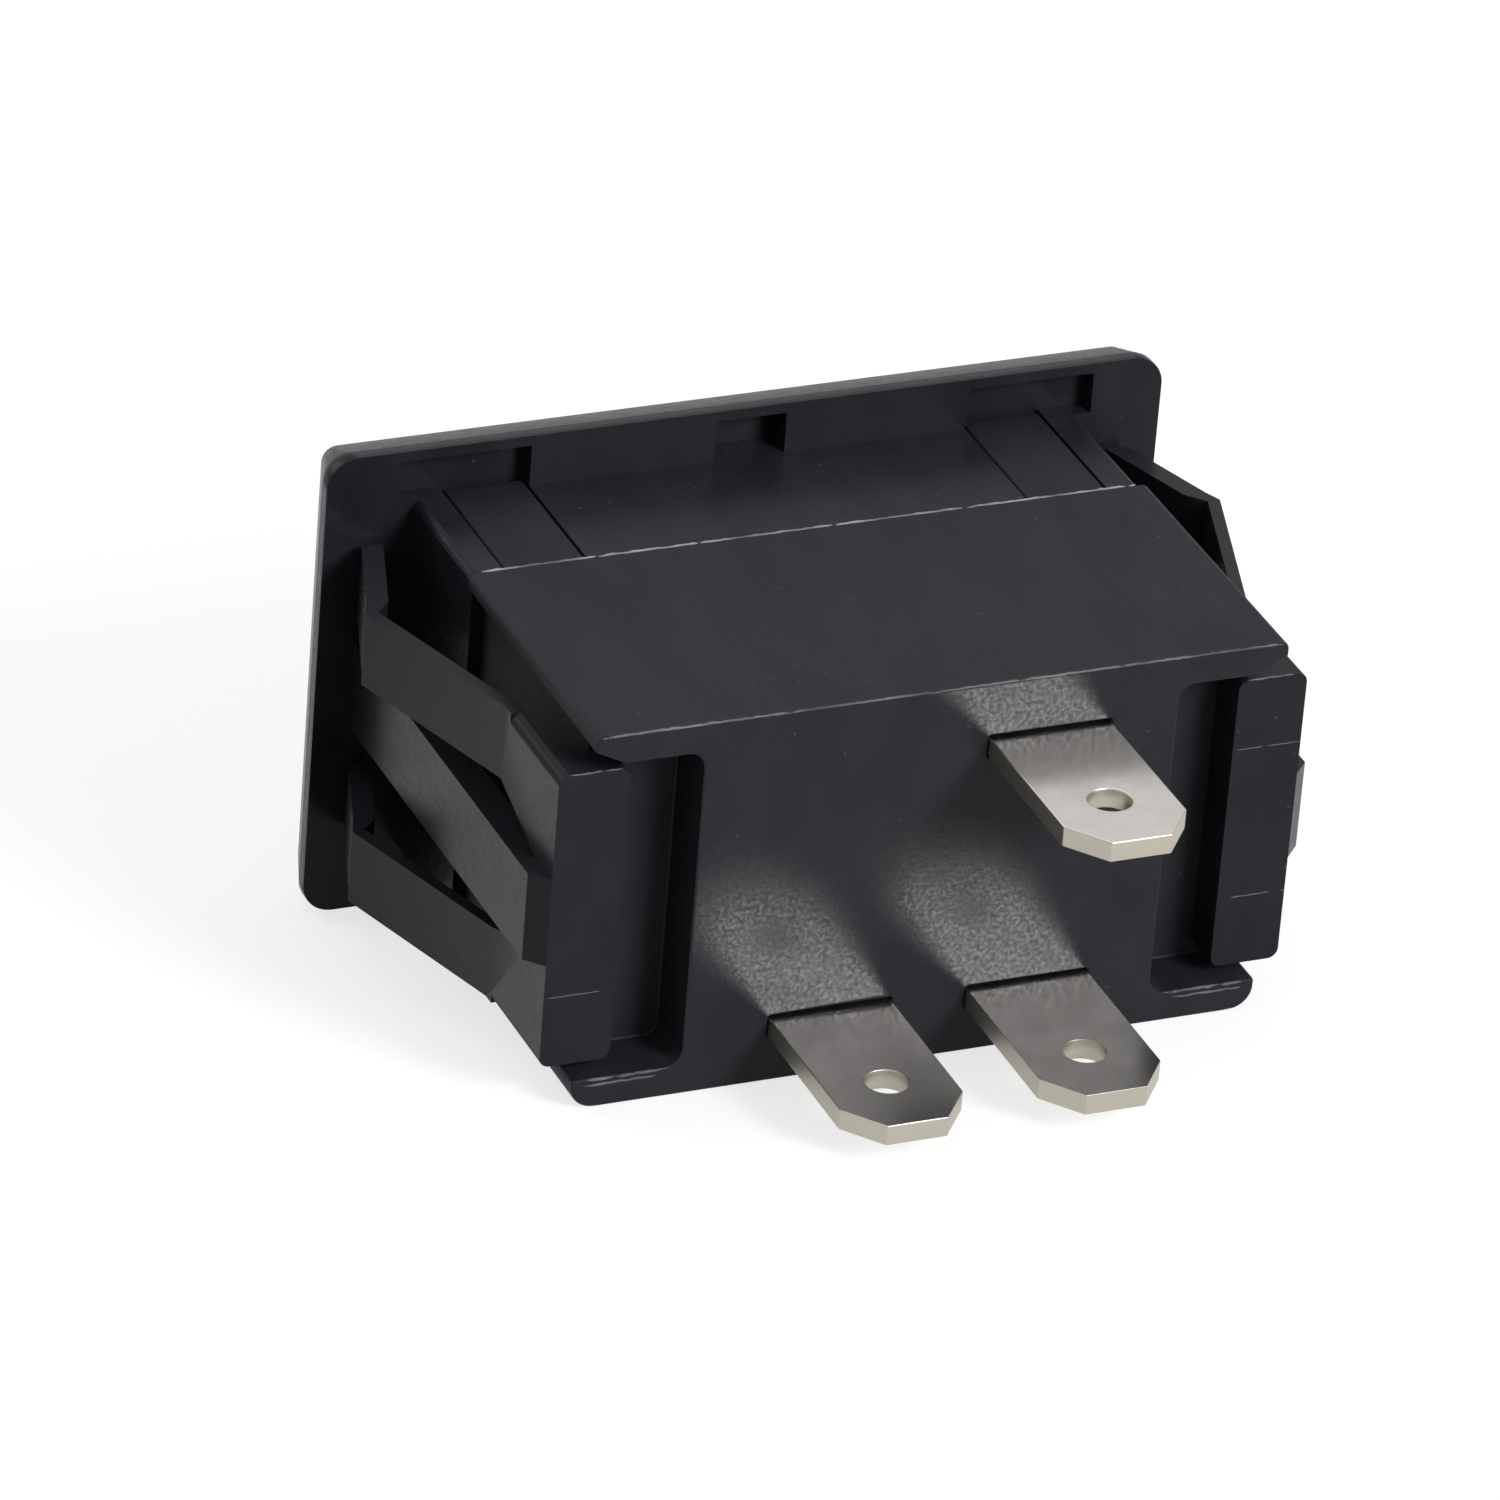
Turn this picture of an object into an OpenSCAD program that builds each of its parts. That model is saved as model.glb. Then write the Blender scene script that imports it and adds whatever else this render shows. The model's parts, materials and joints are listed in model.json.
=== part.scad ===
// Three-terminal snap-in rocker switch.
// Frame: X along the bezel, +Y out of the back where the tabs are, +Z up.
// Origin: centre of the bezel's rear face, which seats on the panel.

/* [Panel cut-out] */
// Length of the panel cut-out that the switch snaps into, along X
cutout_w = 30.5; // [29:0.1:36]
// Height of the panel cut-out, along Z
cutout_h = 15.4; // [15:0.1:20]
// Clearance left between the cut-out and what passes through it
panel_gap = 0.1; // [0.05:0.05:0.2]

/* [Bezel] */
// Overlap of the bezel past the cut-out at each end
lip_x = 1.35; // [1:0.05:3]
// Overlap of the bezel past the cut-out above and below
lip_z = 1.75; // [1.6:0.05:4]
// Thickness of the bezel in front of the panel
bezel_t = 2.2; // [1.8:0.1:3]
// Radius of the bezel's corners
bezel_r = 1.2; // [1:0.05:2]
// Straight edge left behind the bevel
bezel_land = 0.5; // [0.3:0.05:0.9]
// Width of the bevel round the bezel's front
bezel_bevel = 0.6; // [0.4:0.1:0.8]
// Length of each side recess in the bezel's rear face, out from the inner seam of a snap strip
recess_w = 5.1; // [3.4:0.1:6]
// Depth of each side recess
recess_d = 0.8; // [0.3:0.05:1.2]
// Length of the middle notch in the bezel's rear face
notch_w = 2.8; // [1:0.1:5]
// Depth of the middle notch
notch_d = 1.3; // [0.4:0.1:1.4]
// Width of the lip left outside the recesses
recess_rim = 0.4; // [0.3:0.05:1]

/* [Skirt] */
// Depth of the skirt behind the bezel
skirt_d = 6.0; // [5.6:0.1:9]
// How far the skirt stands back from the base all round
skirt_step = 0.2; // [0.05:0.05:0.4]
// Thickness of the skirt's end walls
skirt_wall_x = 1.5; // [1:0.1:2]
// Thickness of the skirt's top and bottom walls
skirt_wall_z = 1.3; // [1.2:0.05:1.8]

/* [Snap arms] */
// Height of the middle tongue of each arm
tongue_h = 3.5; // [2:0.1:5]
// Thickness of the middle tongue
tongue_t = 1.2; // [0.8:0.1:1.8]
// How far the tongue stands proud of the rear bar
tongue_proud = 0.65; // [0.4:0.05:1]
// Length of the lead-in ramp at the rear end of the tongue
tongue_lead = 0.7; // [0.3:0.1:2]
// Clearance between the arms and the ends of the base
arm_side_gap = 0.55; // [0.3:0.05:1]
// Length of the rear bar from its outer face into the pocket, along X
bar_t = 2.7; // [1.6:0.1:3.2]
// Thickness of the rear bar's plate, along Y
bar_d = 1.6; // [1:0.1:3]
// Radius of the rear bar's corners
bar_r = 0.4; // [0.2:0.05:0.8]
// Distance from the back of the base to the rear bar
bar_inset = 0.5; // [0:0.1:1.2]
// Clearance between the rear bar and the floor of its pocket
bar_gap = 0.2; // [0.1:0.05:0.5]
// Height of each spring finger
finger_h = 2.9; // [2:0.1:3.4]
// Thickness of each spring finger
finger_t = 0.5; // [0.4:0.05:0.9]
// Thickness of a finger between its crest and its free end
return_t = 0.85; // [0.5:0.05:1]
// Depth of the bar's outer wall, which the fingers spring from
bar_wall_d = 5.2; // [4.2:0.1:6]
// How far the crest of a finger stands out past the bar
crest_out = 2.4; // [1.6:0.1:3]
// Distance of the crest behind the bezel
crest_y = 5.1; // [4.5:0.1:7]
// Step of the catch just in front of the crest
catch_step = 0.3; // [0.1:0.05:0.5]
// Length of the catch along the finger
catch_len = 0.7; // [0.4:0.1:1.2]
// How far the free end of a finger stands out past the bar
finger_end_out = 0.75; // [0.5:0.05:1.2]
// Gap between the free end of a finger and the bezel
finger_end_gap = 0.3; // [0.2:0.05:0.8]
// Clearance between an arm and the flanges above and below it
arm_gap = 0.45; // [0.1:0.05:0.6]

/* [Base] */
// Depth of the base behind the skirt
base_d = 12.5; // [12:0.1:17]
// Radius of the upper corners of the base and the skirt
base_r = 0.3; // [0.2:0.1:1.2]
// Radius of the lower corners of the base and the skirt
base_low_r = 0.9; // [0.2:0.1:1.2]
// Thickness of the top and bottom flanges
flange_t = 1.2; // [1:0.05:2]
// How far in from the ends the slope under the top flange's tips runs
flange_run = 1.2; // [0.9:0.1:1.6]
// How far that slope rises into the flange
flange_rise = 0.6; // [0.3:0.05:0.8]
// Depth of the recess in each end of the base, between the flanges
end_recess = 0.7; // [0.3:0.1:0.9]
// Radius in the corners of the end pockets
pocket_r = 0.6; // [0.4:0.1:1.6]
// Room left for an arm to bend inwards
arm_room = 2.6; // [2:0.1:3.4]
// Thickness of the base's end walls
end_wall = 1.5; // [1:0.1:2]
// Thickness of the wall in front of the end pockets
pocket_wall = 1.2; // [0.8:0.1:1.8]
// Thickness of the core's walls beside the end pockets
core_wall = 1.0; // [0.8:0.05:1.4]
// Thickness of the back wall
back_wall = 1.6; // [1.2:0.1:2.2]
// Distance of each snap strip from the middle, along X
snap_x = 10.3; // [9.6:0.1:11]
// Width of each snap strip
snap_w = 3.1; // [2:0.1:3.6]
// Thickness of each snap strip
snap_t = 0.8; // [0.6:0.05:0.9]
// Seam left round each snap strip
snap_gap = 0.08; // [0.05:0.01:0.12]
// Gap between the end of a snap strip and the floor of its recess in the bezel
snap_end_gap = 0.25; // [0.15:0.05:0.6]
// Height of the barb on each snap strip
barb_h = 0.25; // [0.15:0.05:0.35]
// Length of the barb
barb_len = 1.2; // [0.8:0.1:1.8]
// Thickness of the barrier ribs beside the cradle
rib_t = 0.6; // [0.4:0.05:0.7]
// Height of the barrier ribs above the back wall
rib_h = 1.4; // [1:0.1:1.6]

/* [Rocker] */
// Tilt of the rocker to each side, in degrees
rocker_tilt = 12; // [9:1:13]
// Clearance between the rocker and the frame
rocker_gap = 0.3; // [0.2:0.05:0.5]
// How far the rocker's valley stands in front of the bezel
rocker_proud = 0.8; // [0.4:0.1:1.5]
// Wall of the rocker
rocker_wall = 1.3; // [1:0.1:1.6]
// Depth of the rocker's walls behind the pivot
rocker_skirt = 2.4; // [1.2:0.1:2.6]
// Distance of the pivot behind the panel face
pivot_y = 0.4; // [0:0.1:0.8]
// Radius of the rocker's trunnions
trunnion_r = 1.3; // [0.8:0.05:1.5]
// Depth of a trunnion in the frame
trunnion_len = 0.8; // [0.6:0.05:0.9]
// Radial clearance of turning and sliding fits
run_gap = 0.05; // [0.03:0.01:0.08]
// Wall of the post that guides the plunger
post_wall = 1.0; // [0.8:0.1:1.4]
// Distance from the pivot to the end of the post
post_len = 9.0; // [8:0.1:9.6]
// Thickness of the ribs that tie the post to the rocker
post_rib = 1.0; // [0.6:0.1:1.4]

/* [Plunger and spring] */
// Radius of the plunger's body
plunger_r = 1.7; // [1.5:0.05:2]
// Radius of the plunger's round nose
nose_r = 0.8; // [0.6:0.05:1]
// Length of the nose past the body
nose_len = 2.3; // [2:0.1:3]
// Length of the plunger inside and below the post
plunger_len = 6.0; // [5:0.1:7]
// Wall of the hollow plunger
plunger_wall = 0.5; // [0.4:0.05:0.6]
// Thickness of the plunger's end wall
plunger_end = 1.0; // [0.6:0.1:1.6]
// Wire diameter of the spring
wire_d = 0.3; // [0.2:0.05:0.4]
// Turns of the spring
spring_turns = 9; // [6:1:12]
// Clearance round the spring in the plunger
spring_gap = 0.1; // [0.05:0.05:0.2]
// Clearance at the spring's ends
seat_gap = 0.02; // [0.01:0.01:0.05]

/* [Contacts] */
// Tilt of the contact blade to each side, in degrees
blade_tilt = 9; // [6:0.5:10]
// Width of the contact blade, along Z
blade_w = 3.4; // [2.6:0.1:4]
// Thickness of the contact blade
blade_t = 0.5; // [0.4:0.05:0.6]
// Length of each arm of the blade from its pivot
blade_arm = 6.4; // [6.2:0.1:7]
// Distance of each contact from the pivot
contact_x = 5.0; // [4.6:0.1:5.2]
// Radius of a contact's head
contact_r = 1.1; // [0.8:0.05:1.2]
// Height of a contact's head
contact_h = 0.45; // [0.3:0.05:0.6]
// Radius of a contact's shank
shank_r = 0.6; // [0.4:0.05:0.7]
// Clearance round a contact's shank
shank_gap = 0.02; // [0.01:0.01:0.04]
// Gap between closed contacts
closed_gap = 0.05; // [0.03:0.01:0.1]
// Gap between the nose and the blade
nose_gap = 0.1; // [0.1:0.01:0.2]
// Radius of the blade's pivot ears
ear_r = 0.45; // [0.35:0.05:0.5]
// Side clearance between the blade and its cradle
cradle_gap = 0.2; // [0.1:0.05:0.3]

/* [Terminals] */
// Width of a tab
tab_w = 4.75; // [4.2:0.05:5]
// Thickness of the terminal strip
tab_t = 0.8; // [0.5:0.05:1]
// Length of a tab behind the base
tab_len = 8.0; // [6.2:0.1:10]
// Diameter of the hole in a tab
tab_hole_d = 1.6; // [1.2:0.05:1.8]
// Distance from the hole to the tip
hole_from_tip = 2.85; // [2.4:0.05:3.3]
// Chamfer of the tip along the tab's width
tip_chamfer_x = 1.2; // [0.6:0.1:1.6]
// Chamfer of the tip along the tab's length
tip_chamfer_y = 1.5; // [0.6:0.1:1.8]
// Place of the common tab along X
common_x = -4.2; // [-4.4:0.1:-3.4]
// Place of throw tab A along X
throw_a_x = 3.5; // [3.2:0.1:4.4]
// Place of throw tab B along X
throw_b_x = -4.2; // [-4.4:0.1:-3.4]
// Height of the middle of the upper tab
upper_z = 4.95; // [4.7:0.05:5.2]
// Height of the middle of the lower tabs
lower_z = -5.4; // [-5.6:0.05:-4.7]
// Clearance beside and below a tab in its slot
slot_gap = 0.04; // [0.03:0.01:0.1]
// Clearance above a tab in its slot
slot_top = 0.1; // [0.05:0.05:0.4]
// Distance from the middle to the inner edge of a throw's shelf
shelf_in = 2.0; // [1.9:0.05:2.2]
// Width of shelf left round a contact
shelf_edge = 0.5; // [0.3:0.1:0.8]
// Half width of the common's bridge and cradle
bridge_half = 1.0; // [0.8:0.05:1.1]
// Outer radius of the bend between a tab and its strip
bend_r = 1.0; // [0.6:0.05:1.2]

/* [Hidden] */
$fn = 64;
// Overshoot of cuts past the faces that they open
past = 1;

// Bezel, skirt and base outlines
bezel_w = cutout_w + 2 * lip_x;
bezel_h = cutout_h + 2 * lip_z;
tongue_x = cutout_w / 2 - panel_gap;
bar_x = tongue_x - tongue_proud;
bar_in_x = bar_x - bar_t;
base_w = 2 * (tongue_x - tongue_t - arm_side_gap);
base_h = cutout_h - 2 * panel_gap;
skirt_w = base_w - 2 * skirt_step;
skirt_h = base_h - 2 * skirt_step;
open_w = skirt_w - 2 * skirt_wall_x;
open_h = skirt_h - 2 * skirt_wall_z;

// Depths behind the panel face
back_y = skirt_d + base_d;
floor_y = back_y - back_wall;
bar_y = back_y - bar_inset;
bar_front_y = bar_y - bar_d;
pocket_y = bar_front_y - bar_gap;
kink_y = bar_y - bar_wall_d;
snap_y = snap_end_gap - recess_d;
shelf_y = floor_y - tab_t;
blade_y = shelf_y - 2 * contact_h - closed_gap - blade_t / 2;
nose_y = blade_y - (blade_t / 2 + nose_gap + nose_r) / cos(blade_tilt);
plunger_y1 = nose_y - nose_len;
plunger_y0 = plunger_y1 - plunger_len;

// Inside of the base
pocket_h = base_h - 2 * flange_t;
core_w = 2 * (bar_in_x - arm_room);
cavity_w = core_w - 2 * core_wall;
arm_half_h = pocket_h / 2 - arm_gap;

// Rocker and what it carries
rocker_r = open_w / 2 - rocker_gap;
rocker_half_h = open_h / 2 - rocker_gap;
valley_y = -bezel_t - rocker_proud;
roof_y = valley_y + rocker_wall;
rocker_y1 = pivot_y + rocker_skirt;
bore_r = plunger_r + run_gap;
post_y1 = pivot_y + post_len;
spring_y0 = roof_y + rocker_wall;
spring_y1 = plunger_y1 - plunger_end;
spring_r = plunger_r - plunger_wall - spring_gap - wire_d / 2;

// Terminals
tab_y1 = back_y + tab_len;
hole_y = tab_y1 - hole_from_tip;
shelf_out = contact_x + contact_r + shelf_edge;
shelf_top = blade_w / 2;
cradle_in = blade_w / 2 + cradle_gap;
cradle_out = cradle_in + tab_t;
notch_r = ear_r + run_gap;

plastic = "#2b2c2e";
plating = "#c4c2bd";

// Extrudes an outline of Y and Z from x0 to x1
module along_x(x0, x1) {
    translate([x0, 0, 0]) rotate([90, 0, 90]) linear_extrude(x1 - x0) children();
}

// Extrudes an outline of X and Z from y0 to y1
module along_y(y0, y1) {
    translate([0, y1, 0]) rotate([90, 0, 0]) linear_extrude(y1 - y0) children();
}

// Extrudes an outline of X and Y from z0 to z1
module along_z(z0, z1) {
    translate([0, 0, z0]) linear_extrude(z1 - z0) children();
}

// A round bar along Y
module round_bar(y0, y1, r) {
    translate([0, y1, 0]) rotate([90, 0, 0]) cylinder(r = r, h = y1 - y0);
}

// Repeats a piece on both ends
module both_ends() {
    children();
    mirror([1, 0, 0]) children();
}

// Repeats a piece above and below
module both_sides() {
    children();
    mirror([0, 0, 1]) children();
}

module rounded_rect(w, h, r) {
    square([w - 2 * r, h], center = true);
    square([w, h - 2 * r], center = true);
    for (sx = [-1, 1], sy = [-1, 1])
        translate([sx * (w / 2 - r), sy * (h / 2 - r)]) circle(r);
}

// Rear view of the base and the skirt, with one radius above and another below
module body_outline(w, h) {
    part_h = 0.75 * h;
    translate([0, (h - part_h) / 2]) rounded_rect(w, part_h, base_r);
    translate([0, (part_h - h) / 2]) rounded_rect(w, part_h, base_low_r);
}

// Half the side view of a plate that tapers to its front over a bevel
module bevel_side(half) {
    polygon([[0, 0], [half, 0], [half, -bezel_land], [half - bezel_bevel, -bezel_t], [0, -bezel_t]]);
}

// A bevelled plate with round corners
module bezel() {
    corner_x = bezel_w / 2 - bezel_r;
    corner_z = bezel_h / 2 - bezel_r;
    both_ends() {
        along_z(-corner_z, corner_z) bevel_side(bezel_w / 2);
        both_sides() {
            along_x(-past, corner_x) rotate(90) mirror([0, 1]) bevel_side(bezel_h / 2);
            translate([corner_x, 0, corner_z])
                rotate([-90, 0, 0]) mirror([0, 1, 0]) rotate_extrude(angle = 90) bevel_side(bezel_r);
        }
    }
}

// Shallow pockets in the bezel's rear face above the skirt
module bezel_recesses() {
    recess_z0 = skirt_h / 2;
    recess_z1 = bezel_h / 2 - recess_rim;
    both_ends()
        translate([snap_x - snap_w / 2 - snap_gap, -recess_d, recess_z0])
            cube([recess_w, recess_d + past, recess_z1 - recess_z0]);
    translate([-notch_w / 2, -notch_d, recess_z0])
        cube([notch_w, notch_d + past, recess_z1 - recess_z0]);
}

// Tongue seen from above, from the bezel to the lead-in ramp at its rear end
module tongue_plan() {
    tongue_in_x = tongue_x - tongue_t;
    polygon([
        [tongue_in_x, -bezel_land], [tongue_x, -bezel_land], [tongue_x, bar_y - tongue_lead],
        [bar_x, bar_y], [tongue_in_x, bar_y]
    ]);
}

// Bar seen from above: a rear plate and the outer wall that the fingers spring from
module bar_plan() {
    wall_in_x = bar_x - finger_t;
    polygon([
        [bar_in_x, bar_y], [bar_x, bar_y], [bar_x, kink_y], [wall_in_x, kink_y],
        [wall_in_x, bar_front_y], [bar_in_x, bar_front_y]
    ]);
}

// Spring finger seen from above, from its root in the bar's wall to its free end
module finger_plan() {
    root_y = kink_y + finger_t;
    crest_x = bar_x + crest_out;
    catch_x = crest_x - catch_step;
    catch_y = crest_y - catch_len;
    end_x = bar_x + finger_end_out;
    polygon([
        [bar_x, root_y], [bar_x, kink_y], [crest_x, crest_y], [catch_x, catch_y],
        [end_x, finger_end_gap], [end_x - return_t, finger_end_gap],
        [catch_x - return_t, catch_y], [crest_x - finger_t, crest_y],
        [bar_x - finger_t, kink_y], [bar_x - finger_t, root_y]
    ]);
}

// Slot between the tongue and a finger, seen from the end: it closes towards the bar
module finger_slot() {
    finger_z = arm_half_h - finger_h;
    polygon([
        [kink_y - past, tongue_h / 2], [kink_y - past, finger_z], [kink_y, finger_z],
        [bar_front_y, tongue_h / 2]
    ]);
}

// Folded snap arm: a tongue back from the bezel, a bar, and two fingers forward
module snap_arm() {
    along_z(-tongue_h / 2, tongue_h / 2) tongue_plan();
    difference() {
        intersection() {
            along_y(kink_y, bar_y)
                translate([bar_x - bar_t / 2, 0]) rounded_rect(bar_t, 2 * arm_half_h, bar_r);
            along_z(-arm_half_h, arm_half_h) bar_plan();
        }
        both_sides() along_x(bar_in_x, tongue_x) finger_slot();
    }
    both_sides() along_z(arm_half_h - finger_h, arm_half_h) finger_plan();
}

// Slots in the skirt for the base's snap strips, each with a window for its barb
module snap_slots() {
    slot_z0 = skirt_h / 2 - snap_t - snap_gap;
    slot_w = snap_w + 2 * snap_gap;
    both_ends() both_sides() {
        translate([snap_x - slot_w / 2, -recess_d, slot_z0])
            cube([slot_w, recess_d + skirt_d + past, snap_t + snap_gap + past]);
        translate([snap_x - slot_w / 2, 0, open_h / 2 - past])
            cube([slot_w, barb_len + 2 * snap_gap, slot_z0 - open_h / 2 + past + snap_t / 2]);
    }
}

module frame() {
    color(plastic) difference() {
        union() {
            bezel();
            along_y(-bezel_land, skirt_d) body_outline(skirt_w, skirt_h);
            both_ends() snap_arm();
        }
        along_y(-bezel_t - past, skirt_d + past) square([open_w, open_h], center = true);
        both_sides()
            translate([0, pivot_y, 0])
                cylinder(r = trunnion_r + run_gap, h = open_h / 2 + trunnion_len + run_gap);
        snap_slots();
        both_sides() bezel_recesses();
    }
}

// Strip on the base that lies flush in the skirt and hooks behind its barb window
module snap_strip() {
    snap_z0 = skirt_h / 2 - snap_t;
    translate([snap_x - snap_w / 2, snap_y, snap_z0])
        cube([snap_w, skirt_d + flange_t - snap_y, snap_t]);
    translate([snap_x, snap_gap, snap_z0]) along_x(-snap_w / 2, snap_w / 2) polygon([
        [0, snap_t / 2], [0, 0], [barb_len, -barb_h], [barb_len, snap_t / 2]
    ]);
}

// Space between the flanges at an end, seen from behind, so deep below the top one's sloped tip
module end_space(depth) {
    end_x = base_w / 2;
    mouth_z = pocket_h / 2 + flange_rise;
    wall_z = mouth_z - flange_rise * depth / flange_run;
    polygon([
        [end_x - depth, -pocket_h / 2], [end_x + past, -pocket_h / 2],
        [end_x + past, mouth_z], [end_x, mouth_z], [end_x - depth, wall_z]
    ]);
}

// Recess along an end of the base, and the pocket behind it that the snap arm's bar lies in
module end_pocket() {
    pocket_w = base_w - core_w;
    along_y(skirt_d - past, pocket_y + past) end_space(end_recess);
    along_y(pocket_y, back_y + past) {
        translate([(core_w + pocket_w) / 2, 0]) rounded_rect(pocket_w, pocket_h, pocket_r);
        end_space(flange_run);
    }
}

// Slot through the back wall for a tab
module tab_slot(x, z) {
    translate([x - tab_w / 2 - slot_gap, floor_y - past, z - tab_t / 2 - slot_gap])
        cube([tab_w + 2 * slot_gap, back_wall + 2 * past, tab_t + slot_gap + slot_top]);
}

// Ribs on the back wall, above the lower tabs, that part the throws from the cradle
module barrier_ribs() {
    rib_x = (bridge_half + shelf_in) / 2;
    rib_z0 = lower_z + tab_t / 2 + slot_top;
    both_ends()
        translate([rib_x - rib_t / 2, floor_y - rib_h, rib_z0])
            cube([rib_t, rib_h, shelf_top - rib_z0]);
}

module base() {
    color(plastic) {
        difference() {
            union() {
                along_y(skirt_d, back_y) body_outline(base_w, base_h);
                both_ends() both_sides() snap_strip();
            }
            both_ends() end_pocket();
            along_y(skirt_d - past, pocket_y - pocket_wall)
                square([base_w - 2 * (end_recess + end_wall), pocket_h], center = true);
            along_y(skirt_d - past, floor_y) square([cavity_w, pocket_h], center = true);
            tab_slot(common_x, upper_z);
            tab_slot(throw_a_x, lower_z);
            tab_slot(throw_b_x, lower_z);
        }
        barrier_ribs();
    }
}

// Side view of the rocker, a sector about its pivot with a shallow V in front
module rocker_outline(inset, rear_y) {
    end_y = valley_y + inset - rocker_r * tan(rocker_tilt);
    intersection() {
        translate([0, pivot_y]) circle(rocker_r - inset, $fn = 128);
        polygon([
            [-rocker_r, end_y], [0, valley_y + inset], [rocker_r, end_y],
            [rocker_r, rear_y], [-rocker_r, rear_y]
        ]);
    }
}

module rocker() {
    inner_half_h = rocker_half_h - rocker_wall;
    color(plastic) difference() {
        union() {
            difference() {
                along_z(-rocker_half_h, rocker_half_h) rocker_outline(0, rocker_y1);
                along_z(-inner_half_h, inner_half_h) rocker_outline(rocker_wall, rocker_y1 + past);
            }
            round_bar(valley_y + rocker_wall / 2, post_y1, bore_r + post_wall);
            translate([-post_rib / 2, roof_y - rocker_wall / 2, -inner_half_h - rocker_wall / 2])
                cube([post_rib, rocker_y1 - roof_y + rocker_wall / 2, 2 * inner_half_h + rocker_wall]);
            both_sides()
                translate([0, pivot_y, inner_half_h])
                    cylinder(r = trunnion_r, h = open_h / 2 + trunnion_len - inner_half_h);
        }
        round_bar(spring_y0, post_y1 + past, bore_r);
    }
}

module plunger() {
    color("#d9d5c8") difference() {
        union() {
            round_bar(plunger_y0, plunger_y1, plunger_r);
            round_bar(plunger_y1 - plunger_end / 2, nose_y, nose_r);
            translate([0, nose_y, 0]) sphere(nose_r);
        }
        round_bar(plunger_y0 - past, spring_y1, plunger_r - plunger_wall);
    }
}

// Points round the wire where it has gone a share s of the way along the spring
function wire_ring(s, sides) =
    let (
        turn = 360 * spring_turns * s,
        y = spring_y0 + seat_gap + wire_d / 2 + s * (spring_y1 - spring_y0 - 2 * seat_gap - wire_d)
    )
    [for (i = [0:sides - 1])
        let (a = 360 * i / sides, r = spring_r + wire_d / 2 * cos(a))
        [r * cos(turn), y + wire_d / 2 * sin(a), r * sin(turn)]];

module plunger_spring() {
    sides = 8;
    rings_per_turn = 14;
    rings = spring_turns * rings_per_turn;
    points = [for (k = [0:rings]) each wire_ring(k / rings, sides)];
    walls = [for (k = [0:rings - 1], i = [0:sides - 1])
        let (j = (i + 1) % sides)
        [k * sides + i, (k + 1) * sides + i, (k + 1) * sides + j, k * sides + j]];
    start_cap = [for (i = [0:sides - 1]) i];
    end_cap = [for (i = [sides - 1:-1:0]) rings * sides + i];
    color("#8d8f92") polyhedron(points, concat(walls, [start_cap, end_cap]), convexity = 10);
}

// Places a piece on the blade's arm at end s, with X along the arm
module on_blade_arm(s) {
    translate([0, blade_y, 0]) mirror([s > 0 ? 0 : 1, 0, 0]) rotate([0, 0, -blade_tilt]) children();
}

module contact_blade() {
    color("#b87748") {
        for (s = [-1, 1]) on_blade_arm(s) difference() {
            translate([0, -blade_t / 2, -blade_w / 2]) cube([blade_arm, blade_t, blade_w]);
            translate([contact_x, 0, 0]) round_bar(-past, past, shank_r + shank_gap);
        }
        translate([0, blade_y, -blade_w / 2]) cylinder(r = blade_t / 2, h = blade_w);
        both_sides()
            translate([0, blade_y, blade_w / 2 - cradle_gap])
                cylinder(r = ear_r, h = cradle_out - blade_w / 2 + 2 * cradle_gap);
    }
}

// Rivet with its head behind a strip and its shank flush with the strip's other face
module contact_rivet(strip_t) {
    round_bar(0, contact_h, contact_r);
    round_bar(-strip_t, contact_h / 2, shank_r);
}

module moving_contact(s) {
    color("#dcdcd8") on_blade_arm(s) translate([contact_x, blade_t / 2, 0]) contact_rivet(blade_t);
}

module moving_contact_a() {
    moving_contact(1);
}

module moving_contact_b() {
    moving_contact(-1);
}

module fixed_contact(s) {
    color("#dcdcd8") translate([s * contact_x, shelf_y, 0]) mirror([0, 1, 0]) contact_rivet(tab_t);
}

module fixed_contact_a() {
    fixed_contact(1);
}

module fixed_contact_b() {
    fixed_contact(-1);
}

// Tab with a chamfered tip and a locking hole, flat in Z
module tab(x, z) {
    half = tab_w / 2;
    translate([x, 0, z]) along_z(-tab_t / 2, tab_t / 2) difference() {
        polygon([
            [-half, shelf_y], [half, shelf_y], [half, tab_y1 - tip_chamfer_y],
            [half - tip_chamfer_x, tab_y1], [tip_chamfer_x - half, tab_y1],
            [-half, tab_y1 - tip_chamfer_y]
        ]);
        translate([0, hole_y]) circle(d = tab_hole_d);
    }
}

// Waste outside the bend where a strip turns from the tab up or down the floor
module bend_waste(z, side) {
    along_x(-base_w, base_w)
        translate([shelf_y, z - side * tab_t / 2]) difference() {
            translate([-past, side > 0 ? -past : -bend_r]) square([past + bend_r, past + bend_r]);
            translate([bend_r, side * bend_r]) circle(bend_r);
            translate([0, side > 0 ? bend_r : -2 * bend_r - past]) square(bend_r + past);
        }
}

// Throw: a tab whose strip turns up the floor into a shelf under the fixed contact
module throw_terminal(s, tab_x) {
    color(plating) difference() {
        union() {
            tab(tab_x, lower_z);
            translate([s > 0 ? shelf_in : -shelf_out, shelf_y, lower_z - tab_t / 2])
                cube([shelf_out - shelf_in, tab_t, shelf_top - lower_z + tab_t / 2]);
        }
        bend_waste(lower_z, 1);
        translate([s * contact_x, 0, 0]) round_bar(shelf_y - past, floor_y + past, shank_r + shank_gap);
    }
}

module throw_terminal_a() {
    throw_terminal(1, throw_a_x);
}

module throw_terminal_b() {
    throw_terminal(-1, throw_b_x);
}

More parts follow.
